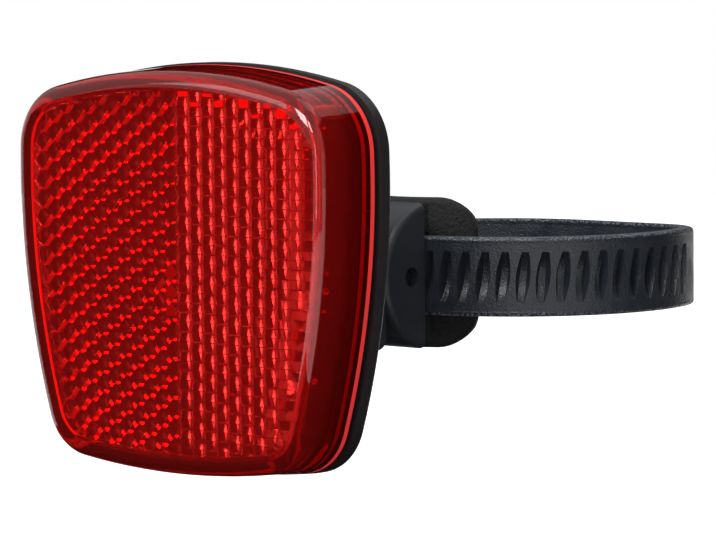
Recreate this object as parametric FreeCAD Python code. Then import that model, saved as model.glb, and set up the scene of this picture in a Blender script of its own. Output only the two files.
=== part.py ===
"""Rear reflector with a strap clamp for a bicycle seat post.

Millimetres, +Z up. The origin is on the seat post's axis at the clamp's mid height, and the lens faces -Y.
"""
import FreeCAD, Part
import math
import os

V = FreeCAD.Vector
X_AXIS = V(1, 0, 0)
Y_AXIS = V(0, 1, 0)
Z_AXIS = V(0, 0, 1)

# Seat post and saddle
POST_R = 13.6             # 27.2 mm seat post
SADDLE_WALL = 2.6
SADDLE_HALF_ANGLE = 55.0  # degrees of wrap on each side
SADDLE_HEIGHT = 24.4
SADDLE_CORNER_R = 7.0
SADDLE_EDGE_R = 0.9

# Strap
STRAP_THICKNESS = 2.4
STRAP_HEIGHT = 12.7
STRAP_EDGE_R = 0.7
STRAP_CLEARANCE = 0.3     # strap to saddle, slot walls and bead socket
BEND_X = 7.0              # straight through the housing up to here
NEAR_R = 27.9             # mid line of the near side, after the housing
NEAR_TURN = 108.0         # degrees
CORNER_R = 9.0            # mid line of the turn to the far side
FAR_END_X = 8.0           # the far side is straight back to here, then rounds to the bead
TAIL_LENGTH = 7.5         # free end past the housing
TAIL_CORNER_R = 3.5
BEAD_R = 2.1
BEAD_X = -15.5            # anchored end of the strap
BEAD_Y = -11.5
SOCKET_WALL = 1.7
SOCKET_LEDGE = 2.2        # floor and rim above and below the strap
SOCKET_WEB = 6.6          # thickness of the web between saddle and socket

# Worm drive
PITCH = 3.1
WORM_R = 5.2
WORM_CORE_R = 3.2
THREAD_TIP = 0.7
THREAD_FLANK_DEG = 18.0
THREAD_CLEARANCE = 0.2
RECESS_DEPTH = 1.9
RECESS_COUNT = 24
FIRST_RECESS = 2.8        # from the strap's free tip
BORE_CLEARANCE = 0.15
WORM_INSET = 0.6          # thread ends this far inside the housing's open side
PIVOT_R = 1.6
PIVOT_CLEARANCE = 0.05
PIVOT_RECESS = 1.4        # worm's tip lies this far inside the housing
WORM_END_PLAY = 0.3
HEAD_ACROSS_FLATS = 5.5
HEAD_LENGTH = 5.0
HEAD_SLOT = 1.2
HEAD_SLOT_DEPTH = 1.8

# Worm housing and arm
HOUSING_WIDTH = 20.0
NOSE_R = 12.0
NOSE_WALL = 1.2
END_WALL = 2.5
HOUSING_EDGE_R = 1.3
BRIDGE_WIDTH = 14.0
BRIDGE_DROP = 0.7         # top of the bridges below the housing's
BRIDGE_ROOT = 0.9         # how far they run into the saddle's wall
ARM_LENGTH = 22.6         # from the housing's nose to the reflector's boss
ARM_WIDTH = 18.0
ARM_HEIGHT = 23.0
ARM_WEB = 3.0
ARM_EDGE_R = 2.0
FLANGE = 5.0

# Lens outline, at its rear edge
LENS_HEIGHT = 63.2
LENS_RISE = 3.4           # lens mid height above the clamp's
TOP_HALF = 32.3           # half widths between the unrounded corners
BOTTOM_HALF = 25.1
TOP_ARCH = 4.8
BOTTOM_ARCH = 2.2
SIDE_BOW = 3.2
TOP_CORNER_R = 10.5
BOTTOM_CORNER_R = 9.4

# Lens section
LENS_DEPTH = 11.9
LENS_DRAFT = 0.74         # front outline's inset over the depth
LENS_WALL = 2.3
LENS_PLATE = 2.8
LENS_FRONT_R = 2.8
PRISM_PITCH = 3.0         # across the flats of a cell
PRISM_STEP = 2.52         # between the columns of cells
PRISM_OFFSET = 0.43       # place of the left half's last column, right of the middle
PRISM_LEAN = 4.0          # degrees that a cell's peak leans to the left, seen from the front
PRISM_LAND = 0.4
PRISM_MARGIN = 0.6        # from the wall to the cells
PRISM_SEAM = 0.1          # between the two halves

# Rear cover
COVER_RIM = 2.5
COVER_GROOVE = 1.2
COVER_GROOVE_DEPTH = 0.9
COVER_OVERHANG = 0.3
COVER_SPIGOT = 2.6
COVER_SPIGOT_WALL = 1.6
COVER_CLEARANCE = 0.12
COVER_PLATE = 2.0
COVER_EDGE_R = 0.8
BOSS_R = 9.5
BOSS_HEIGHT = 2.4
BOSS_FLOOR = 2.0

# Mounting bolt
BOLT_R = 2.5
BOLT_CLEARANCE = 0.15
HEX_ACROSS_FLATS = 8.0
HEX_CLEARANCE = 0.1
BOLT_HEAD = 3.5
BOLT_CHAMFER = 0.5
NUT_HEIGHT = 4.0
NUT_CHAMFER = 0.12        # inside the flats, where the corner cone starts
NUT_CHAMFER_DEG = 30.0
WASHER_R = 5.0
WASHER_THICKNESS = 1.0
BOLT_PROUD = 1.5
COLLAR_WALL = 2.2

# Places along Y, from the post forwards
saddle_outer_r = POST_R + SADDLE_WALL
strap_inner_y = -saddle_outer_r - STRAP_CLEARANCE
strap_mid_y = strap_inner_y - STRAP_THICKNESS / 2
strap_outer_y = strap_inner_y - STRAP_THICKNESS
slot_y = strap_outer_y - STRAP_CLEARANCE
recess_r = WORM_R + THREAD_CLEARANCE
worm_y = strap_outer_y - recess_r + RECESS_DEPTH
bore_r = WORM_R + BORE_CLEARANCE
nose_y = worm_y - bore_r - NOSE_WALL
flange_y = nose_y - ARM_LENGTH
cover_y = flange_y - BOSS_HEIGHT
rim_y = cover_y - COVER_RIM
lens_rear_y = rim_y - COVER_GROOVE
front_y = lens_rear_y - LENS_DEPTH
housing_half = HOUSING_WIDTH / 2


def box(low, high):
    """A block between two opposite corners."""
    return Part.makeBox(high.x - low.x, high.y - low.y, high.z - low.z, low)


def arc(centre, radius, start, end):
    """An arc in the XZ plane from one angle to another, in radians, at the centre's own Y."""
    def at(angle):
        return centre + V(radius * math.cos(angle), 0, radius * math.sin(angle))
    return Part.Arc(at(start), at((start + end) / 2), at(end)).toShape()


def crossing(centre_a, radius_a, centre_b, radius_b, near):
    """Where two circles in the XZ plane cross, at the crossing nearer to a point."""
    between = centre_b - centre_a
    gap = between.Length
    along = (radius_a ** 2 - radius_b ** 2 + gap ** 2) / (2 * gap)
    across = math.sqrt(radius_a ** 2 - along ** 2)
    middle = centre_a + between * (along / gap)
    side = V(-between.z, 0, between.x) * (across / gap)
    return min(middle + side, middle - side, key=lambda point: (point - near).Length)


def heading(start, end):
    """Angle in the XZ plane of the way from one point to another."""
    return math.atan2(end.z - start.z, end.x - start.x)


def lens_outline(y, inset):
    """Closed outline of the lens at a depth: arched top and bottom, bowed sides, round corners."""
    top = V(0, y, LENS_RISE + LENS_HEIGHT / 2)
    bottom = V(0, y, LENS_RISE - LENS_HEIGHT / 2)
    top_corner = V(TOP_HALF, y, top.z - TOP_ARCH)
    bottom_corner = V(BOTTOM_HALF, y, bottom.z + BOTTOM_ARCH)
    chord = bottom_corner - top_corner
    top_r = (TOP_HALF ** 2 + TOP_ARCH ** 2) / (2 * TOP_ARCH)
    bottom_r = (BOTTOM_HALF ** 2 + BOTTOM_ARCH ** 2) / (2 * BOTTOM_ARCH)
    side_r = (chord.Length ** 2 / 4 + SIDE_BOW ** 2) / (2 * SIDE_BOW)
    top_centre = top - Z_AXIS * top_r
    bottom_centre = bottom + Z_AXIS * bottom_r
    inward = V(chord.z, 0, -chord.x) * (1 / chord.Length)
    side_centre = (top_corner + bottom_corner) * 0.5 + inward * (side_r - SIDE_BOW)
    upper = crossing(top_centre, top_r - TOP_CORNER_R, side_centre, side_r - TOP_CORNER_R, top_corner)
    lower = crossing(bottom_centre, bottom_r - BOTTOM_CORNER_R, side_centre, side_r - BOTTOM_CORNER_R,
                     bottom_corner)
    top_turn = heading(top_centre, upper)
    side_start = heading(side_centre, upper)
    side_end = heading(side_centre, lower)
    bottom_turn = heading(bottom_centre, lower)

    def mirrored(point):
        return V(-point.x, point.y, point.z)

    return Part.Wire([
        arc(top_centre, top_r - inset, math.pi - top_turn, top_turn),
        arc(upper, TOP_CORNER_R - inset, top_turn, side_start),
        arc(side_centre, side_r - inset, side_start, side_end),
        arc(lower, BOTTOM_CORNER_R - inset, side_end, bottom_turn),
        arc(bottom_centre, bottom_r - inset, bottom_turn, -math.pi - bottom_turn),
        arc(mirrored(lower), BOTTOM_CORNER_R - inset, -math.pi - bottom_turn, -math.pi - side_end),
        arc(mirrored(side_centre), side_r - inset, -math.pi - side_end, -math.pi - side_start),
        arc(mirrored(upper), TOP_CORNER_R - inset, -math.pi - side_start, -math.pi - top_turn),
    ])


def outline_slab(y_front, y_rear, inset):
    """Straight slab with the lens outline."""
    return Part.Face(lens_outline(y_front, inset)).extrude(V(0, y_rear - y_front, 0))


def edges_at_y(shape, y):
    """Edges that lie wholly in one plane across Y."""
    return [e for e in shape.Edges if abs(e.BoundBox.YMin - y) < 1e-4 and abs(e.BoundBox.YMax - y) < 1e-4]


def hexagon_bar(across_flats, y_start, length, z=0.0):
    """Hexagonal bar along Y with two flats level."""
    radius = across_flats / math.sqrt(3)
    corners = [V(radius * math.cos(k * math.pi / 3), y_start, z + radius * math.sin(k * math.pi / 3))
               for k in range(7)]
    return Part.Face(Part.makePolygon(corners)).extrude(V(0, length, 0))


def prism_cells(right_half):
    """Centres of the hexagonal cells of one half, out to those that reach the lens wall from outside."""
    reach = cell_corners()[0].x
    field = Part.Face(lens_outline(0, LENS_DRAFT + LENS_WALL - reach))
    columns = int(TOP_HALF / PRISM_STEP) + 3
    rows = int(LENS_HEIGHT / PRISM_PITCH)
    cells = []
    for column in range(-columns, columns + 1):
        if (column > 0) != right_half:
            continue
        for row in range(-rows, rows + 1):
            height = (row + (column % 2) / 2) * PRISM_PITCH
            centre = V(column * PRISM_STEP + PRISM_OFFSET, 0, LENS_RISE + height)
            if field.isInside(centre, 1e-6, True):
                cells.append(centre)
    return cells


def cell_corners():
    """The six corners of a cell about its centre, the first one towards +X.

    Columns of hexagons stand one and a half times a cell's reach apart.
    """
    reach_x = PRISM_STEP / 1.5
    reach_z = PRISM_PITCH / math.sqrt(3)
    return [V(reach_x * math.cos(k * math.pi / 3), 0, reach_z * math.sin(k * math.pi / 3)) for k in range(6)]


def prism_field(right_half):
    """Cube corners side by side: each cell is three faces that meet at right angles in its peak.

    The cells lean, so each column stands a step above the next. The outermost ones are cut short of the wall.
    """
    base = front_y + LENS_PLATE
    rise = PRISM_PITCH / math.sqrt(6)
    lean = math.tan(math.radians(PRISM_LEAN))
    shift = PRISM_SEAM / 2 if right_half else -PRISM_SEAM / 2
    first_low = 0 if right_half else 1
    offsets = cell_corners()

    def leaning(centre, offset, level):
        return V(centre.x + offset.x + shift - (level - rise) * lean,
                 base + PRISM_LAND + level + offset.x * lean,
                 centre.z + offset.z)

    def corner_level(k):
        return 0 if (k - first_low) % 2 == 0 else rise

    faces = []
    sides = {}
    for centre in prism_cells(right_half):
        corners = [centre + offset for offset in offsets]
        peak = leaning(centre, V(0, 0, 0), 2 * rise)
        tops = [leaning(centre, offset, corner_level(k)) for k, offset in enumerate(offsets)]
        for k in range(first_low, 6, 2):
            faces.append(Part.Face(Part.makePolygon([peak, tops[k - 1], tops[k], tops[(k + 1) % 6], peak])))
        for k in range(6):
            top, next_top = tops[k], tops[(k + 1) % 6]
            key = tuple((round(p.x, 3), round(p.z, 3)) for p in (corners[k], corners[(k + 1) % 6]))
            if key[::-1] not in sides:
                sides[key] = (V(top.x, base, top.z), V(next_top.x, base, next_top.z), next_top, top)
                continue
            neighbour_top, neighbour_next = sides.pop(key[::-1])[2:]
            if abs(neighbour_top.y - top.y) > 1e-4:
                step = Part.makePolygon([top, next_top, neighbour_next, neighbour_top, top])
                faces.append(Part.Face(step))
    for foot, next_foot, next_top, top in sides.values():
        faces.append(Part.Face(Part.makePolygon([foot, next_foot, next_top, top, foot])))
    following = {start: (start, end) for start, end in sides}
    key = next(iter(following))
    loop = []
    for _ in following:
        loop.append(sides[following[key]][0])
        key = following[key][1]
    faces.append(Part.Face(Part.makePolygon(loop + loop[:1])))
    shell = Part.Shell(faces)
    shell.sewShape()
    solid = Part.Solid(shell)
    if solid.Volume < 0:
        solid.reverse()
    return solid.common(outline_slab(base - PRISM_LAND, lens_rear_y, LENS_DRAFT + LENS_WALL + PRISM_MARGIN))


def make_lens():
    """Red cup: a flat front, a round front edge, drafted walls and the prism field on the inside."""
    outer = Part.makeLoft([lens_outline(front_y, LENS_DRAFT), lens_outline(lens_rear_y, 0)], True, True)
    outer = outer.makeFillet(LENS_FRONT_R, edges_at_y(outer, front_y))
    hollow = outline_slab(front_y + LENS_PLATE, lens_rear_y, LENS_DRAFT + LENS_WALL)
    return outer.cut(hollow).fuse([prism_field(False), prism_field(True)])


def make_rear_cover():
    """Black back: a spigot inside the lens wall, a shadow groove, a rim and a boss for the bolt."""
    spigot_inset = LENS_DRAFT + LENS_WALL + COVER_CLEARANCE
    rim = outline_slab(rim_y, cover_y, -COVER_OVERHANG)
    rim = rim.makeFillet(COVER_EDGE_R, edges_at_y(rim, cover_y))
    groove = outline_slab(lens_rear_y, rim_y, COVER_GROOVE_DEPTH)
    spigot = outline_slab(lens_rear_y - COVER_SPIGOT, lens_rear_y, spigot_inset)
    boss = Part.makeCylinder(BOSS_R, BOSS_HEIGHT, V(0, cover_y, 0), Y_AXIS)
    hollow = outline_slab(lens_rear_y - COVER_SPIGOT, cover_y - COVER_PLATE, spigot_inset + COVER_SPIGOT_WALL)
    head_y = flange_y - BOSS_FLOOR - BOLT_HEAD
    pocket = hexagon_bar(HEX_ACROSS_FLATS + 2 * HEX_CLEARANCE, head_y, BOLT_HEAD)
    collar_r = HEX_ACROSS_FLATS / math.sqrt(3) + COLLAR_WALL
    collar = Part.makeCylinder(collar_r, cover_y - head_y, V(0, head_y, 0), Y_AXIS)
    hole = Part.makeCylinder(BOLT_R + BOLT_CLEARANCE, BOSS_FLOOR, V(0, flange_y - BOSS_FLOOR, 0), Y_AXIS)
    shell = rim.fuse([groove, spigot]).cut(hollow)
    return shell.fuse([boss, collar]).cut([pocket, hole]).removeSplitter()


def make_mounting_bolt():
    """Hexagon bolt held in the cover's boss."""
    head = hexagon_bar(HEX_ACROSS_FLATS, flange_y - BOSS_FLOOR - BOLT_HEAD, BOLT_HEAD)
    reach = BOSS_FLOOR + FLANGE + WASHER_THICKNESS + NUT_HEIGHT + BOLT_PROUD
    shank = Part.makeCylinder(BOLT_R, reach, V(0, flange_y - BOSS_FLOOR, 0), Y_AXIS)
    tip = edges_at_y(shank, flange_y - BOSS_FLOOR + reach)
    return shank.makeChamfer(BOLT_CHAMFER, tip).fuse(head)


def make_washer():
    """Flat washer on the inner side of the arm's flange."""
    seat = V(0, flange_y + FLANGE, 0)
    disc = Part.makeCylinder(WASHER_R, WASHER_THICKNESS, seat, Y_AXIS)
    return disc.cut(Part.makeCylinder(BOLT_R + BOLT_CLEARANCE, WASHER_THICKNESS, seat, Y_AXIS))


def make_nut():
    """Hexagon nut with chamfered corners, bored to the bolt."""
    seat_y = flange_y + FLANGE + WASHER_THICKNESS
    body = hexagon_bar(HEX_ACROSS_FLATS, seat_y, NUT_HEIGHT)
    face_r = HEX_ACROSS_FLATS / 2 - NUT_CHAMFER
    foot_r = face_r + NUT_HEIGHT / math.tan(math.radians(NUT_CHAMFER_DEG))
    cone = Part.makeCone(foot_r, face_r, NUT_HEIGHT, V(0, seat_y, 0), Y_AXIS)
    hole = Part.makeCylinder(BOLT_R, NUT_HEIGHT, V(0, seat_y, 0), Y_AXIS)
    return body.common(cone).cut(hole)


def make_housing():
    """Half-round worm housing with rounded end edges."""
    centre = V(-housing_half, nose_y + NOSE_R, 0)
    barrel = Part.makeCylinder(NOSE_R, HOUSING_WIDTH, centre, X_AXIS)
    behind = box(V(-HOUSING_WIDTH, slot_y, -2 * NOSE_R), V(HOUSING_WIDTH, slot_y + 2 * NOSE_R, 2 * NOSE_R))
    block = barrel.cut(behind)
    ends = [e for e in block.Edges if e.BoundBox.XLength < 1e-4 and e.BoundBox.YLength > 1]
    return block.makeFillet(HOUSING_EDGE_R, ends)


def saddle_corner(side, end):
    """What a round corner takes off the saddle: side 1 is right and -1 left, end 1 is top and -1 bottom."""
    reach = 2 * saddle_outer_r
    level = end * (SADDLE_HEIGHT / 2 - SADDLE_CORNER_R)
    block = box(V(min(0, side * reach), -reach, min(level, end * SADDLE_HEIGHT)),
                V(max(0, side * reach), 0, max(level, end * SADDLE_HEIGHT)))
    corner = block.cut(Part.makeCylinder(SADDLE_CORNER_R, reach, V(0, -reach, level), Y_AXIS))
    turn = SADDLE_HALF_ANGLE - math.degrees(math.asin(SADDLE_CORNER_R / saddle_outer_r))
    corner.rotate(V(0, 0, 0), Z_AXIS, side * turn)
    return corner


def make_saddle():
    """Curved saddle that bears on the post, with round corners and a round outer edge."""
    tall = SADDLE_HEIGHT / 2
    half_angle = math.radians(SADDLE_HALF_ANGLE)
    ring = Part.makeCylinder(saddle_outer_r, SADDLE_HEIGHT, V(0, 0, -tall))
    wedge_x = 3 * saddle_outer_r * math.sin(half_angle)
    wedge_y = -3 * saddle_outer_r * math.cos(half_angle)
    wedge = Part.makePolygon([V(0, 0, -tall), V(-wedge_x, wedge_y, -tall), V(0, -4 * saddle_outer_r, -tall),
                              V(wedge_x, wedge_y, -tall), V(0, 0, -tall)])
    plate = ring.common(Part.Face(wedge).extrude(V(0, 0, SADDLE_HEIGHT)))
    plate = plate.cut([saddle_corner(side, end) for side in (1, -1) for end in (1, -1)])
    rim = []
    for edge in plate.Edges:
        middle = edge.valueAt((edge.FirstParameter + edge.LastParameter) / 2)
        if abs(math.hypot(middle.x, middle.y) - saddle_outer_r) < 1e-3:
            rim.append(edge)
    return plate.makeFillet(SADDLE_EDGE_R, rim)


def make_bead_socket():
    """Upright socket beside the saddle for the strap's bead, joined to the saddle by a web."""
    low = -STRAP_HEIGHT / 2 - SOCKET_LEDGE
    tall = STRAP_HEIGHT + 2 * SOCKET_LEDGE
    outer_r = BEAD_R + STRAP_CLEARANCE + SOCKET_WALL
    bead = V(BEAD_X, BEAD_Y, low)
    post = Part.makeCylinder(outer_r, tall, bead)
    span = math.hypot(BEAD_X, BEAD_Y) - POST_R
    web = Part.makeBox(span, SOCKET_WEB, tall, V(0, -SOCKET_WEB / 2, low))
    web.translate(V(POST_R, 0, 0))
    web.rotate(V(0, 0, 0), Z_AXIS, math.degrees(math.atan2(BEAD_Y, BEAD_X)))
    return post.fuse(web)


def bead_socket_space():
    """Keyhole for the bead and the strap, open at the top."""
    low = -STRAP_HEIGHT / 2 - STRAP_CLEARANCE
    tall = 2 * STRAP_HEIGHT
    half = STRAP_THICKNESS / 2 + STRAP_CLEARANCE
    round_hole = Part.makeCylinder(BEAD_R + STRAP_CLEARANCE, tall, V(BEAD_X, BEAD_Y, low))
    foot = last_centre() + Z_AXIS * low
    ring = Part.makeCylinder(last_radius() + half, tall, foot)
    ring = ring.cut(Part.makeCylinder(last_radius() - half, tall, foot))
    beyond = box(V(-2 * last_radius(), BEAD_Y, low), V(0, 0, low + tall))
    return round_hole.fuse(ring.common(beyond))


def make_arm():
    """Two webs and a flange: open at the sides so that the nut can be reached."""
    half_w = ARM_WIDTH / 2
    half_h = ARM_HEIGHT / 2
    bar = box(V(-half_w, flange_y, -half_h), V(half_w, nose_y + NOSE_WALL, half_h))
    long_edges = [e for e in bar.Edges if e.BoundBox.YLength > 1]
    bar = bar.makeFillet(ARM_EDGE_R, long_edges)
    gap = box(V(-ARM_WIDTH, flange_y + FLANGE, ARM_WEB - half_h), V(ARM_WIDTH, nose_y, half_h - ARM_WEB))
    upright = [e for e in gap.Edges if e.BoundBox.XLength > 1 and e.CenterOfMass.y < nose_y - 1]
    return bar.cut(gap.makeFillet(ARM_EDGE_R, upright))


def make_bracket():
    """One moulding: arm, worm housing, bridges over the strap, saddle and bead socket."""
    room = STRAP_HEIGHT / 2 + STRAP_CLEARANCE
    tall = NOSE_R - BRIDGE_DROP
    half = BRIDGE_WIDTH / 2
    back = -math.sqrt(saddle_outer_r ** 2 - half ** 2) + BRIDGE_ROOT
    bridges = [box(V(-half, slot_y - NOSE_WALL, room), V(half, back, tall)),
               box(V(-half, slot_y - NOSE_WALL, -tall), V(half, back, -room))]
    body = make_housing().fuse([make_arm(), make_saddle(), make_bead_socket()] + bridges)
    bore = Part.makeCylinder(bore_r, HOUSING_WIDTH - END_WALL, V(-housing_half, worm_y, 0), X_AXIS)
    pivot = Part.makeCylinder(PIVOT_R, HOUSING_WIDTH, V(0, worm_y, 0), X_AXIS)
    bolt_hole = Part.makeCylinder(BOLT_R + BOLT_CLEARANCE, FLANGE, V(0, flange_y, 0), Y_AXIS)
    post = Part.makeCylinder(POST_R, 4 * SADDLE_HEIGHT, V(0, 0, -2 * SADDLE_HEIGHT))
    return body.cut([bore, pivot, bolt_hole, post, bead_socket_space()]).removeSplitter()


def on_turn(centre, radius, heading_angle):
    """Point of a turn about +Z where the way has a heading, in radians from +X."""
    return centre + V(math.sin(heading_angle), -math.cos(heading_angle), 0) * radius


def near_centre():
    """Centre of the strap's near side."""
    return V(BEND_X, strap_mid_y + NEAR_R, 0)


def corner_centre():
    """Centre of the strap's turn to its far side."""
    return on_turn(near_centre(), NEAR_R - CORNER_R, math.radians(NEAR_TURN))


def far_y():
    """Mid line of the strap's far side."""
    return corner_centre().y + CORNER_R


def last_radius():
    """Mid-line radius of the strap's last turn, from its far side to the bead."""
    across = FAR_END_X - BEAD_X
    along = far_y() - BEAD_Y
    return (across ** 2 + along ** 2) / (2 * along)


def last_centre():
    """Centre of the strap's last turn."""
    return V(FAR_END_X, far_y() - last_radius(), 0)


def strap_side(offset):
    """One face of the strap seen from above: tail, near side, corner, far side and last turn to the bead."""
    near_turn = math.radians(NEAR_TURN)
    from_last = V(BEAD_X, BEAD_Y, 0) - last_centre()
    bead_turn = 2 * math.pi + math.atan2(from_last.x, -from_last.y)

    def turn(centre, radius, start, end):
        angles = (start, (start + end) / 2, end)
        return Part.Arc(*[on_turn(centre, radius + offset, angle) for angle in angles])

    near = turn(near_centre(), NEAR_R, 0, near_turn)
    corner = turn(corner_centre(), CORNER_R, near_turn, math.pi)
    last = turn(last_centre(), last_radius(), math.pi, bead_turn)
    tail = Part.LineSegment(V(-housing_half - TAIL_LENGTH, strap_mid_y - offset, 0), near.StartPoint)
    far = Part.LineSegment(corner.EndPoint, last.StartPoint)
    return [curve.toShape() for curve in (tail, near, corner, far, last)]


def recess_cutter():
    """Slice of the worm's thread, grown by its clearance, as a disc about X at the worm's axis."""
    slope = math.tan(math.radians(THREAD_FLANK_DEG))
    root = recess_r - 1.5 * RECESS_DEPTH
    tip_half = THREAD_TIP / 2 + THREAD_CLEARANCE
    root_half = tip_half + (recess_r - root) * slope
    section = Part.makePolygon([V(-root_half, root, 0), V(-tip_half, recess_r, 0), V(tip_half, recess_r, 0),
                                V(root_half, root, 0), V(-root_half, root, 0)])
    disc = Part.Face(section).revolve(V(0, 0, 0), X_AXIS, 360)
    lead = math.degrees(math.atan2(PITCH, 2 * math.pi * (recess_r - RECESS_DEPTH / 2)))
    disc.rotate(V(0, 0, 0), Y_AXIS, lead)
    return disc


def recess_x(index):
    """Place of a recess along the straightened strap."""
    return -housing_half - TAIL_LENGTH + FIRST_RECESS + index * PITCH


def make_strap():
    """Strap with a recess for every turn of the worm, and a bead at its anchored end."""
    outer = strap_side(STRAP_THICKNESS / 2)
    inner = strap_side(-STRAP_THICKNESS / 2)
    ends = [Part.LineSegment(outer[-1].Vertexes[-1].Point, inner[-1].Vertexes[-1].Point).toShape(),
            Part.LineSegment(outer[0].Vertexes[0].Point, inner[0].Vertexes[0].Point).toShape()]
    outline = Part.Wire(Part.__sortEdges__(outer + inner + ends))
    band = Part.Face(outline).extrude(V(0, 0, STRAP_HEIGHT))
    band.translate(V(0, 0, -STRAP_HEIGHT / 2))
    tip_x = -housing_half - TAIL_LENGTH
    tip_edges = [e for e in band.Edges if e.BoundBox.XMax < tip_x + 1e-4 and e.BoundBox.YLength > 1]
    band = band.makeFillet(TAIL_CORNER_R, tip_edges)
    rims = [e for e in band.Edges if e.BoundBox.ZLength < 1e-4 and runs_along(e, outer)]
    band = band.makeFillet(STRAP_EDGE_R, rims)
    cutters = []
    for index in range(RECESS_COUNT):
        cutter = recess_cutter()
        x = recess_x(index)
        cutter.translate(V(min(x, BEND_X), worm_y, 0))
        if x > BEND_X:
            cutter.rotate(near_centre(), Z_AXIS, math.degrees((x - BEND_X) / NEAR_R))
        cutters.append(cutter)
    bead = Part.makeCylinder(BEAD_R, STRAP_HEIGHT, V(BEAD_X, BEAD_Y, -STRAP_HEIGHT / 2))
    return band.cut(cutters).fuse(bead)


def runs_along(edge, path):
    """Whether an edge of the strap lies straight above or below a path's edges."""
    middle = edge.valueAt((edge.FirstParameter + edge.LastParameter) / 2)
    foot = Part.Vertex(middle.x, middle.y, 0)
    return any(foot.distToShape(part)[0] < 1e-3 for part in path)


def make_worm_screw():
    """Right-hand worm with a pivot at its far end and a slotted hexagon head."""
    thread_start = WORM_INSET - housing_half
    thread_end = housing_half - END_WALL - WORM_END_PLAY
    head_end = -housing_half - HEAD_LENGTH
    slope = math.tan(math.radians(THREAD_FLANK_DEG))
    foot = WORM_CORE_R - THREAD_CLEARANCE
    tip_half = THREAD_TIP / 2
    foot_half = tip_half + (WORM_R - foot) * slope
    turns = math.ceil((thread_end - thread_start) / PITCH) + 2
    helix = Part.makeHelix(PITCH, turns * PITCH, WORM_CORE_R)
    section = Part.makePolygon([V(foot, 0, -foot_half), V(WORM_R, 0, -tip_half), V(WORM_R, 0, tip_half),
                                V(foot, 0, foot_half), V(foot, 0, -foot_half)])
    thread = Part.Wire(helix).makePipeShell([section], True, True)
    # the helix runs along its own Z from its own X: those become X and Y here
    thread.rotate(V(0, 0, 0), V(1, 1, 1), 120)
    in_mesh = math.floor((thread_start - recess_x(0)) / PITCH) - 1
    thread.translate(V(recess_x(in_mesh), worm_y, 0))
    sleeve = Part.makeCylinder(bore_r, thread_end - thread_start, V(thread_start, worm_y, 0), X_AXIS)
    core = Part.makeCylinder(WORM_CORE_R, thread_end - thread_start, V(thread_start, worm_y, 0), X_AXIS)
    pivot_length = housing_half - PIVOT_RECESS - thread_end
    pivot = Part.makeCylinder(PIVOT_R - PIVOT_CLEARANCE, pivot_length, V(thread_end, worm_y, 0), X_AXIS)
    head = hexagon_bar(HEAD_ACROSS_FLATS, 0, thread_start - head_end)
    head.rotate(V(0, 0, 0), Z_AXIS, -90)
    head.translate(V(head_end, worm_y, 0))
    slot = box(V(head_end, worm_y - HEAD_ACROSS_FLATS, -HEAD_SLOT / 2),
               V(head_end + HEAD_SLOT_DEPTH, worm_y + HEAD_ACROSS_FLATS, HEAD_SLOT / 2))
    return core.fuse([thread.common(sleeve), pivot, head]).cut(slot).removeSplitter()


def main():
    """Build every piece and write it under its own name."""
    os.makedirs("parts", exist_ok=True)
    pieces = {
        "lens": make_lens(),
        "rear_cover": make_rear_cover(),
        "mounting_bolt": make_mounting_bolt(),
        "washer": make_washer(),
        "nut": make_nut(),
        "bracket": make_bracket(),
        "strap": make_strap(),
        "worm_screw": make_worm_screw(),
    }
    for name, shape in pieces.items():
        shape.exportStep("parts/" + name + ".step")
        print(name, len(shape.Solids), shape.isValid(), round(shape.Volume, 1))


main()
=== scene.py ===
"""Dresses a rear reflector on a worm-drive strap clamp.

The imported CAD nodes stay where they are. This file gives each of them the finish of the real piece, and
sets up the studio and the camera. All lengths are in metres in the frame of the CAD: Z is the axis of the
post that the strap grips, and the lens looks along -Y.
"""

import bpy
import numpy as np
from mathutils import Matrix, Vector


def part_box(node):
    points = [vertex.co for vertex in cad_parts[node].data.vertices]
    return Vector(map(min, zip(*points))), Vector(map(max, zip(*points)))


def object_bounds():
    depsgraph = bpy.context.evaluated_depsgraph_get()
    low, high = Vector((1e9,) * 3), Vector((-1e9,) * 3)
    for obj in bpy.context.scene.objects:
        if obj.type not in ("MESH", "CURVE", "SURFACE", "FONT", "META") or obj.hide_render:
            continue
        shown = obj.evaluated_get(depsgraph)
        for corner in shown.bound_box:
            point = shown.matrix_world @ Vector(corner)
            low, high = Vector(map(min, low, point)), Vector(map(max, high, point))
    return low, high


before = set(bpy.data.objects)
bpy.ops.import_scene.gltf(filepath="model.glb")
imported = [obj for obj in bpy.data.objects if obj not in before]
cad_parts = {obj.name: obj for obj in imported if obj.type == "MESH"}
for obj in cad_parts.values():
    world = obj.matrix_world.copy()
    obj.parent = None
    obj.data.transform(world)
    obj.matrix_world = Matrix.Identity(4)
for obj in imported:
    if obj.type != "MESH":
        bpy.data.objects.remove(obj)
CAD_BOX = [list(corner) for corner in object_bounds()]

bl_info = {
    "name": "Rear reflector dressing",
    "version": (1, 0, 0),
    "blender": (4, 5, 0),
    "location": "3D View > Sidebar > Reflector",
    "description": "Finishes, studio and camera for a rear reflector with a strap clamp",
    "category": "Object",
}

MM = 0.001

# Where finishes change along a piece
PRISMS_TO = 5.0 * MM  # behind the lens's front
WALLS_FROM = 8.0 * MM  # behind the lens's front
WELD_FADE = 0.1 * MM
SADDLE_FROM = -18.4 * MM  # along Y: the saddle lies behind the strap's slot
SADDLE_FADE = 0.3 * MM
STRAP_EDGE_FROM = 0.9 * MM  # inside the strap's upper and lower edges
STRAP_EDGE_FULL = 0.3 * MM

# Share of the light that goes through the acrylic and isn't scattered
PRISM_CLARITY = 0.925
WALL_CLARITY = 0.97
WELD_CLARITY = 0.15

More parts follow.
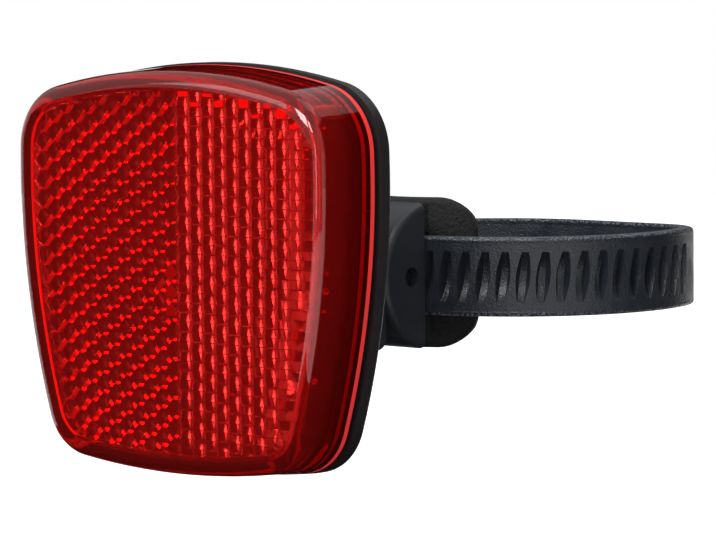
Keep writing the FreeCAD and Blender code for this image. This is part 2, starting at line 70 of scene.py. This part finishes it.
# Stage
FLOOR_HALF = 4.0  # half width of the floor, and radius of the wall on it
FLOOR_Z = CAD_BOX[0][2] - 0.22
WALL_TOP = 0.5
SKY_STRENGTH = 0.6
TABLE_CARD_HALF = 0.18
TABLE_CARD_PLACE = (-0.03, -0.05, FLOOR_Z + 0.17)
UNIT_SQUARE = np.array([[-1.0, -1.0, 0.0], [1.0, -1.0, 0.0], [1.0, 1.0, 0.0], [-1.0, 1.0, 0.0]])
ONE_FACE = np.array([[0, 1, 2, 3]])
ARC_STEPS = 64

# Standing cards: name, colour property, radius, first and last angle in degrees, lower and upper edge
CARDS = (
    ("front_card", "card", 0.6, -62.0, 18.0, FLOOR_Z, 0.1),
    ("side_card", "card", 0.42, 85.0, 168.0, FLOOR_Z, 0.45),
    ("back_card", "card", 0.6, 168.0, 250.0, 0.05, 0.35),
    ("camera_card", "pale_card", 1.7, 25.0, 72.0, FLOOR_Z, 0.6),
)

# Lamps, which all point at the same place: name, place, width and height, watts
LAMP_TARGET = Vector((0.0, -0.07, 0.0))
LAMPS = (
    ("key", (0.165, -1.006, 0.887), (0.5, 0.5), 12.5),
    ("glint", (0.6, -0.9, 0.8), (0.16, 0.35), 2.4),
    ("strip", (0.916, -1.258, 0.133), (0.12, 0.6), 0.85),
    ("left", (-0.75, -1.0, 0.75), (0.5, 0.5), 2.0),
    ("top", (0.2, 0.3, 1.1), (0.6, 0.6), 1.0),
)

CAMERA_PLACE = Vector((0.40945, -0.4912, 0.0524))
CAMERA_RIGHT = Vector((0.7525, 0.6585, -0.0101))
CAMERA_UP = Vector((-0.0469, 0.0689, 0.9965))
SENSOR_WIDTH = 36.0


def linear(code):
    """The linear RGBA of an sRGB hex colour such as #c81018."""
    srgb = np.array([int(code[i : i + 2], 16) for i in (1, 3, 5)]) / 255.0
    low, high = srgb / 12.92, ((srgb + 0.055) / 1.055) ** 2.4
    return (*np.where(srgb <= 0.04045, low, high).tolist(), 1.0)


def colour(name, code, description):
    """A colour property with an sRGB hex default."""
    return bpy.props.FloatVectorProperty(
        name=name, description=description, subtype="COLOR", size=4, min=0.0, max=1.0, default=linear(code)
    )


def length(name, size, description):
    """A length property in metres, with its default given in millimetres."""
    return bpy.props.FloatProperty(
        name=name, description=description, unit="LENGTH", precision=5, min=0.0, default=size * MM
    )


class ReflectorFinishes(bpy.types.PropertyGroup):
    """Colours and grain sizes of the moulded and plated pieces."""

    lens_red: colour("Lens red", "#fd302c", "Red of the acrylic, at each surface that light crosses")
    cover_black: colour("Cover black", "#1c181a", "Black of the rear cover")
    bracket_black: colour("Bracket black", "#202329", "Charcoal of the bracket")
    # Darker than the bracket partly as painted shade, for the shade behind and under the strap
    saddle_black_and_shade: colour("Saddle black", "#08090a", "Dull black of the pebbled saddle")
    strap_black: colour("Strap black", "#1d2128", "Blue-grey charcoal of the strap")
    # Pale specks: partly scuffs, partly painted highlight for the sparkle along the strap's edges
    strap_scuff_and_sparkle: colour("Strap scuffs", "#5a6068", "Pale specks along the strap's edges")
    worm_black: colour("Worm black", "#101113", "Black of the worm")
    zinc: colour("Zinc", "#b9bcc0", "Plated steel of the bolt, washer and nut")
    mould_radius: length("Mould radius", 0.2, "Radius that the mould leaves on the edges of the prisms")
    weld_band: length("Weld band", 0.9, "Width of the frosted band at the lens's welded rear edge")
    satin_grain: length("Satin grain", 0.35, "Spark-eroded grain, drawn coarse enough to show")
    pebble: length("Pebble", 0.7, "Pebbles on the saddle")
    sparkle: length("Sparkle", 0.4, "Roughness of the strap, strongest along its edges")
    handling: length("Handling", 3.0, "Cloudy patches where the strap was handled")
    acetal_ripple: length("Acetal ripple", 1.5, "Faint flow ripple of the worm's moulding")
    zinc_cloud: length("Zinc cloud", 2.0, "Cloudy patches of the plating")
    zinc_grain: length("Zinc grain", 0.25, "Bath grain of the plating")


class ReflectorStudio(bpy.types.PropertyGroup):
    """The colours of the stage and the camera's focal length."""

    floor: colour("Floor", "#c8c8c8", "Pale floor under the part")
    card: colour("Dark card", "#0a0a0a", "Cards round and under the part, which only reflections see")
    pale_card: colour("Pale card", "#b4b4b4", "Card behind the camera, which only reflections see")
    lens_length: bpy.props.FloatProperty(
        name="Focal length", description="Of a camera with a 36 mm wide sensor", unit="CAMERA", default=193.93
    )


def add(tree, kind, settings=None, **inputs):
    """Adds a node, sets its settings and fills its inputs, each by a value or by a link from an output.

    An input is given by its name, with _ for a space, or by n and its number.
    """
    node = tree.nodes.new("ShaderNode" + kind)
    for name, value in (settings or {}).items():
        setattr(node, name, value)
    for name, value in inputs.items():
        key = name.replace("_", " ")
        socket = node.inputs[int(key[1:])] if key[0] == "n" and key[1:].isdigit() else node.inputs[key]
        if isinstance(value, bpy.types.NodeSocket):
            tree.links.new(value, socket)
        else:
            socket.default_value = value
    return node


def new_material(name):
    """A node material with no nodes in it, and its tree."""
    material = bpy.data.materials.new(name)
    material.use_nodes = True
    material.node_tree.nodes.clear()
    return material, material.node_tree


def red_acrylic(finishes):
    """Injection-moulded acrylic, polished in the mould: glass-clear and deep red, so that the eye sees the
    lit prisms on its back through a mirror-smooth front. The small mould radii on the prisms' edges catch
    light in thin dashes, and the walls are clearer than the prisms. The rear edge is welded to the cover,
    which frosts a narrow band there that shows as a bright line."""
    material, tree = new_material("acrylic_moulded_red")
    front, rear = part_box("lens")[0][1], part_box("lens")[1][1]
    weld_from = rear - finishes.weld_band
    place = add(tree, "TexCoord").outputs["Object"]
    depth = add(tree, "SeparateXYZ", Vector=place).outputs["Y"]
    walls = {"Value": depth, "From_Min": front + PRISMS_TO, "From_Max": front + WALLS_FROM}
    weld = {"Value": depth, "From_Min": weld_from, "From_Max": weld_from + WELD_FADE}
    polished = add(tree, "MapRange", To_Min=PRISM_CLARITY, To_Max=WALL_CLARITY, **walls)
    clear = add(tree, "MapRange", To_Min=polished.outputs["Result"], To_Max=WELD_CLARITY, **weld)
    rough = add(tree, "MapRange", To_Min=0.0, To_Max=0.4, **weld)
    edges = add(tree, "Bevel", {"samples": 4}, Radius=finishes.mould_radius)
    body = add(
        tree,
        "BsdfPrincipled",
        Base_Color=finishes.lens_red,
        Roughness=rough.outputs["Result"],
        IOR=1.49,
        Transmission_Weight=clear.outputs["Result"],
        Normal=edges.outputs["Normal"],
    )
    add(tree, "OutputMaterial", Surface=body.outputs["BSDF"])
    return material


def black_abs(finishes):
    """Moulded ABS with a fine spark-eroded grain: an even, dull black with a soft sheen."""
    material, tree = new_material("abs_moulded_black")
    place = add(tree, "TexCoord").outputs["Object"]
    grains = add(tree, "TexNoise", Vector=place, Scale=1.0 / finishes.satin_grain, Detail=2.0).outputs["Fac"]
    bump = add(tree, "Bump", Distance=0.05 * MM, Height=grains)
    rough = add(tree, "MapRange", Value=grains, From_Min=0.3, From_Max=0.7, To_Min=0.4, To_Max=0.52)
    body = add(
        tree,
        "BsdfPrincipled",
        Base_Color=finishes.cover_black,
        Roughness=rough.outputs["Result"],
        IOR=1.54,
        Normal=bump.outputs["Normal"],
    )
    add(tree, "OutputMaterial", Surface=body.outputs["BSDF"])
    return material


def charcoal_nylon(finishes):
    """Moulded nylon: a satin charcoal housing and arm, and a saddle with coarse dull pebbles, which reads
    darker and speckled next to them. The saddle's darker black is partly painted shade, for the shade
    that falls behind and under the strap."""
    material, tree = new_material("nylon_moulded_charcoal")
    place = add(tree, "TexCoord").outputs["Object"]
    depth = add(tree, "SeparateXYZ", Vector=place).outputs["Y"]
    saddle = {"Value": depth, "From_Min": SADDLE_FROM, "From_Max": SADDLE_FROM + SADDLE_FADE}
    pebbled_and_shaded = add(tree, "MapRange", **saddle).outputs["Result"]
    grains = add(tree, "TexNoise", Vector=place, Scale=1.0 / finishes.satin_grain, Detail=2.0)
    pebbles = add(tree, "TexNoise", Vector=place, Scale=1.0 / finishes.pebble, Detail=3.0, Roughness=0.6)
    raised = add(tree, "Math", {"operation": "MULTIPLY"}, n0=pebbles.outputs["Fac"], n1=pebbled_and_shaded)
    fine = add(tree, "Bump", Distance=0.07 * MM, Height=grains.outputs["Fac"]).outputs["Normal"]
    coarse = add(tree, "Bump", Distance=0.35 * MM, Height=raised.outputs["Value"], Normal=fine)
    # The saddle's darker black: partly its own dull pebbled finish, partly painted shade for the shade behind
    # and under the strap
    tone = add(
        tree, "Mix", {"data_type": "RGBA"}, n0=pebbled_and_shaded, n6=finishes.bracket_black, n7=finishes.saddle_black_and_shade
    )
    rough = add(tree, "MapRange", To_Min=0.42, To_Max=0.8, **saddle)
    body = add(
        tree,
        "BsdfPrincipled",
        Base_Color=tone.outputs[2],
        Roughness=rough.outputs["Result"],
        IOR=1.53,
        Normal=coarse.outputs["Normal"],
    )
    add(tree, "OutputMaterial", Surface=body.outputs["BSDF"])
    return material


def satin_strap(finishes):
    """Moulded flexible nylon: a satin blue-grey charcoal with a visible grain, slightly cloudy from handling,
    and with rough edges that carry pale specks, partly scuffs and partly a painted highlight for their
    sparkle in thin lines above and below."""
    material, tree = new_material("nylon_flexible_satin")
    place = add(tree, "TexCoord").outputs["Object"]
    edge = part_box("strap")[1][2]
    across = add(tree, "SeparateXYZ", Vector=place).outputs["Z"]
    height = add(tree, "Math", {"operation": "ABSOLUTE"}, n0=across)
    near_edge = add(
        tree,
        "MapRange",
        Value=height.outputs["Value"],
        From_Min=edge - STRAP_EDGE_FROM,
        From_Max=edge - STRAP_EDGE_FULL,
        To_Min=0.2,
    ).outputs["Result"]
    grains = add(tree, "TexNoise", Vector=place, Scale=1.0 / finishes.satin_grain, Detail=2.0)
    cloud = add(tree, "TexNoise", Vector=place, Scale=1.0 / finishes.handling, Detail=3.0).outputs["Fac"]
    specks = add(tree, "TexNoise", Vector=place, Scale=1.0 / finishes.sparkle, Detail=1.0).outputs["Fac"]
    raised = add(tree, "Math", {"operation": "MULTIPLY"}, n0=specks, n1=near_edge).outputs["Value"]
    fine = add(tree, "Bump", Distance=0.1 * MM, Height=grains.outputs["Fac"]).outputs["Normal"]
    coarse = add(tree, "Bump", Distance=0.3 * MM, Height=raised, Normal=fine)
    # Pale specks along the upper and lower edges: partly scuffs, partly painted highlight for the edges'
    # sparkle
    scuffs_and_sparkle = add(tree, "MapRange", Value=raised, From_Min=0.42, From_Max=0.62).outputs["Result"]
    tone = add(
        tree, "Mix", {"data_type": "RGBA"}, n0=scuffs_and_sparkle, n6=finishes.strap_black, n7=finishes.strap_scuff_and_sparkle
    )
    rough = add(tree, "MapRange", Value=cloud, From_Min=0.3, From_Max=0.7, To_Min=0.26, To_Max=0.5)
    body = add(
        tree,
        "BsdfPrincipled",
        Base_Color=tone.outputs[2],
        Roughness=rough.outputs["Result"],
        IOR=1.53,
        Normal=coarse.outputs["Normal"],
    )
    add(tree, "OutputMaterial", Surface=body.outputs["BSDF"])
    return material


def black_acetal(finishes):
    """Moulded acetal: a slick black with a waxy sheen and the faintest ripple."""
    material, tree = new_material("acetal_moulded_black")
    place = add(tree, "TexCoord").outputs["Object"]
    flow = add(tree, "TexNoise", Vector=place, Scale=1.0 / finishes.acetal_ripple, Detail=1.0).outputs["Fac"]
    bump = add(tree, "Bump", Distance=0.02 * MM, Height=flow)
    rough = add(tree, "MapRange", Value=flow, From_Min=0.3, From_Max=0.7, To_Min=0.25, To_Max=0.35)
    body = add(
        tree,
        "BsdfPrincipled",
        Base_Color=finishes.worm_black,
        Roughness=rough.outputs["Result"],
        IOR=1.48,
        Normal=bump.outputs["Normal"],
    )
    add(tree, "OutputMaterial", Surface=body.outputs["BSDF"])
    return material


def plated_steel(finishes):
    """Zinc-plated steel: bright grey with faint cloudy patches and a fine bath grain."""
    material, tree = new_material("steel_zinc_plated")
    place = add(tree, "TexCoord").outputs["Object"]
    cloud = add(tree, "TexNoise", Vector=place, Scale=1.0 / finishes.zinc_cloud, Detail=3.0).outputs["Fac"]
    grains = add(tree, "TexNoise", Vector=place, Scale=1.0 / finishes.zinc_grain, Detail=1.0).outputs["Fac"]
    bump = add(tree, "Bump", Distance=0.006 * MM, Height=grains)
    rough = add(tree, "MapRange", Value=cloud, From_Min=0.3, From_Max=0.7, To_Min=0.25, To_Max=0.42)
    body = add(
        tree,
        "BsdfPrincipled",
        Base_Color=finishes.zinc,
        Metallic=1.0,
        Roughness=rough.outputs["Result"],
        Normal=bump.outputs["Normal"],
    )
    add(tree, "OutputMaterial", Surface=body.outputs["BSDF"])
    return material


def dress(node_name, material):
    """Puts a material on a CAD node."""
    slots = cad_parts[node_name].data.materials
    slots.clear()
    slots.append(material)


class DressLens(bpy.types.Operator):
    """Puts the red acrylic on the lens"""

    bl_idname = "reflector.dress_lens"
    bl_label = "Lens"

    def execute(self, context):
        dress("lens", red_acrylic(context.scene.reflector_finishes))
        return {"FINISHED"}


class DressCover(bpy.types.Operator):
    """Puts the black plastic on the rear cover"""

    bl_idname = "reflector.dress_cover"
    bl_label = "Rear cover"

    def execute(self, context):
        dress("rear_cover", black_abs(context.scene.reflector_finishes))
        return {"FINISHED"}


class DressClamp(bpy.types.Operator):
    """Puts the charcoal plastics on the bracket, the strap and the worm"""

    bl_idname = "reflector.dress_clamp"
    bl_label = "Clamp"

    def execute(self, context):
        finishes = context.scene.reflector_finishes
        dress("bracket", charcoal_nylon(finishes))
        dress("strap", satin_strap(finishes))
        dress("worm_screw", black_acetal(finishes))
        return {"FINISHED"}


class DressFasteners(bpy.types.Operator):
    """Puts zinc-plated steel on the bolt, the washer and the nut"""

    bl_idname = "reflector.dress_fasteners"
    bl_label = "Fasteners"

    def execute(self, context):
        steel = plated_steel(context.scene.reflector_finishes)
        for name in ("mounting_bolt", "washer", "nut"):
            dress(name, steel)
        return {"FINISHED"}


def arc(radius, start, stop, low, high):
    """Points and faces of a surface that stands on an arc round the part: (r sin a, -r cos a, z), with a in
    degrees from -Y towards +X and z at the two edges."""
    angle = np.radians(np.linspace(start, stop, ARC_STEPS + 1))
    line = radius * np.column_stack([np.sin(angle), -np.cos(angle), np.zeros_like(angle)])
    k = np.arange(ARC_STEPS)
    above = k + ARC_STEPS + 1
    points = np.concatenate([line + [0, 0, low], line + [0, 0, high]])
    return points, np.column_stack([k, k + 1, above + 1, above])


def stage_surface(name, points, faces):
    """A stage object from arrays of points and faces, and the tree of its material, which is still empty."""
    mesh = bpy.data.meshes.new(name)
    mesh.from_pydata(points.tolist(), [], faces.tolist())
    material, tree = new_material(name)
    mesh.materials.append(material)
    surface = bpy.data.objects.new(name, mesh)
    bpy.context.scene.collection.objects.link(surface)
    return surface, tree


def set_floor(tone):
    """Pale matte paper that keeps the part's shadow. To the camera, to reflections and through the lens it
    also glows, so that it shows as the white background, a little less so near the part."""
    tree = stage_surface("floor", UNIT_SQUARE * FLOOR_HALF + [0.0, 0.0, FLOOR_Z], ONE_FACE)[1]
    rays = add(tree, "LightPath").outputs
    seen = add(tree, "Math", {"operation": "MAXIMUM"}, n0=rays["Is Camera Ray"], n1=rays["Is Glossy Ray"])
    through = rays["Is Transmission Ray"]
    shown = add(tree, "Math", {"operation": "MAXIMUM"}, n0=seen.outputs["Value"], n1=through)
    place = add(tree, "TexCoord").outputs["Object"]
    reach = add(tree, "VectorMath", {"operation": "LENGTH"}, n0=place).outputs["Value"]
    lift = add(tree, "MapRange", Value=reach, From_Min=0.3, From_Max=0.9, To_Min=0.75, To_Max=1.0)
    matte = add(tree, "BsdfDiffuse", Color=tone).outputs["BSDF"]
    glow = add(tree, "Emission", Strength=lift.outputs["Result"]).outputs["Emission"]
    both = add(tree, "AddShader", n0=matte, n1=glow).outputs["Shader"]
    paper = add(tree, "MixShader", Fac=shown.outputs["Value"], n1=matte, n2=both)
    add(tree, "OutputMaterial", Surface=paper.outputs["Shader"])


def set_wall():
    """The white background: a ring that stands on the floor's edge."""
    tree = stage_surface("wall", *arc(FLOOR_HALF, 0.0, 360.0, FLOOR_Z, WALL_TOP))[1]
    white = add(tree, "Emission", Strength=1.0)
    add(tree, "OutputMaterial", Surface=white.outputs["Emission"])


def set_card(name, points, faces, tone):
    """A matte card that only reflections and refractions see."""
    card, tree = stage_surface(name, points, faces)
    matte = add(tree, "BsdfDiffuse", Color=tone)
    add(tree, "OutputMaterial", Surface=matte.outputs["BSDF"])
    card.visible_camera = card.visible_shadow = card.visible_diffuse = False


def set_lamp(name, place, size, watts):
    """A rectangular soft box at a place, aimed at the part."""
    data = bpy.data.lights.new(name, "AREA")
    data.shape = "RECTANGLE"
    data.size, data.size_y = size
    data.energy = watts
    lamp = bpy.data.objects.new(name, data)
    lamp.location = place
    lamp.rotation_euler = (LAMP_TARGET - Vector(place)).to_track_quat("-Z", "Y").to_euler()
    bpy.context.scene.collection.objects.link(lamp)


def set_sky():
    """An even white sky."""
    world = bpy.data.worlds.new("studio")
    world.use_nodes = True
    tree = world.node_tree
    tree.nodes.clear()
    sky = add(tree, "Background", Color=(1.0, 1.0, 1.0, 1.0), Strength=SKY_STRENGTH)
    add(tree, "OutputWorld", Surface=sky.outputs["Background"])
    bpy.context.scene.world = world


def set_camera(focal_length):
    """The camera at the photograph's viewing angle."""
    data = bpy.data.cameras.new("camera")
    data.lens, data.sensor_width = focal_length, SENSOR_WIDTH
    camera = bpy.data.objects.new("camera", data)
    back = CAMERA_RIGHT.cross(CAMERA_UP).normalized()
    turn = Matrix((CAMERA_RIGHT, back.cross(CAMERA_RIGHT), back)).transposed()
    camera.matrix_world = Matrix.LocRotScale(CAMERA_PLACE, turn, None)
    bpy.context.scene.collection.objects.link(camera)
    bpy.context.scene.camera = camera


class SetStage(bpy.types.Operator):
    """Adds the floor, the wall, the cards, the lamps, the sky and the camera"""

    bl_idname = "reflector.set_stage"
    bl_label = "Stage"

    def execute(self, context):
        studio = context.scene.reflector_studio
        context.scene.view_settings.view_transform = "Standard"
        set_floor(studio.floor)
        set_wall()
        set_card("table_card", UNIT_SQUARE * TABLE_CARD_HALF + TABLE_CARD_PLACE, ONE_FACE, studio.card)
        for name, tone, *shape in CARDS:
            set_card(name, *arc(*shape), getattr(studio, tone))
        for settings in LAMPS:
            set_lamp(*settings)
        set_sky()
        set_camera(studio.lens_length)
        return {"FINISHED"}


class ReflectorPanel(bpy.types.Panel):
    """Lists the finishes and the pieces"""

    bl_idname = "VIEW3D_PT_reflector"
    bl_label = "Rear reflector"
    bl_space_type = "VIEW_3D"
    bl_region_type = "UI"
    bl_category = "Reflector"

    def draw(self, context):
        for group in (context.scene.reflector_finishes, context.scene.reflector_studio):
            for name in group.__annotations__:
                self.layout.prop(group, name)
        for operator in OPERATORS:
            self.layout.operator(operator.bl_idname)


OPERATORS = (DressLens, DressCover, DressClamp, DressFasteners, SetStage)
CLASSES = (ReflectorFinishes, ReflectorStudio, *OPERATORS, ReflectorPanel)


def register():
    for item in CLASSES:
        bpy.utils.register_class(item)
    bpy.types.Scene.reflector_finishes = bpy.props.PointerProperty(type=ReflectorFinishes)
    bpy.types.Scene.reflector_studio = bpy.props.PointerProperty(type=ReflectorStudio)


def unregister():
    del bpy.types.Scene.reflector_studio
    del bpy.types.Scene.reflector_finishes
    for item in reversed(CLASSES):
        bpy.utils.unregister_class(item)


def main():
    register()
    bpy.ops.reflector.dress_lens()
    bpy.ops.reflector.dress_cover()
    bpy.ops.reflector.dress_clamp()
    bpy.ops.reflector.dress_fasteners()
    bpy.ops.reflector.set_stage()


if __name__ == "__main__":
    main()
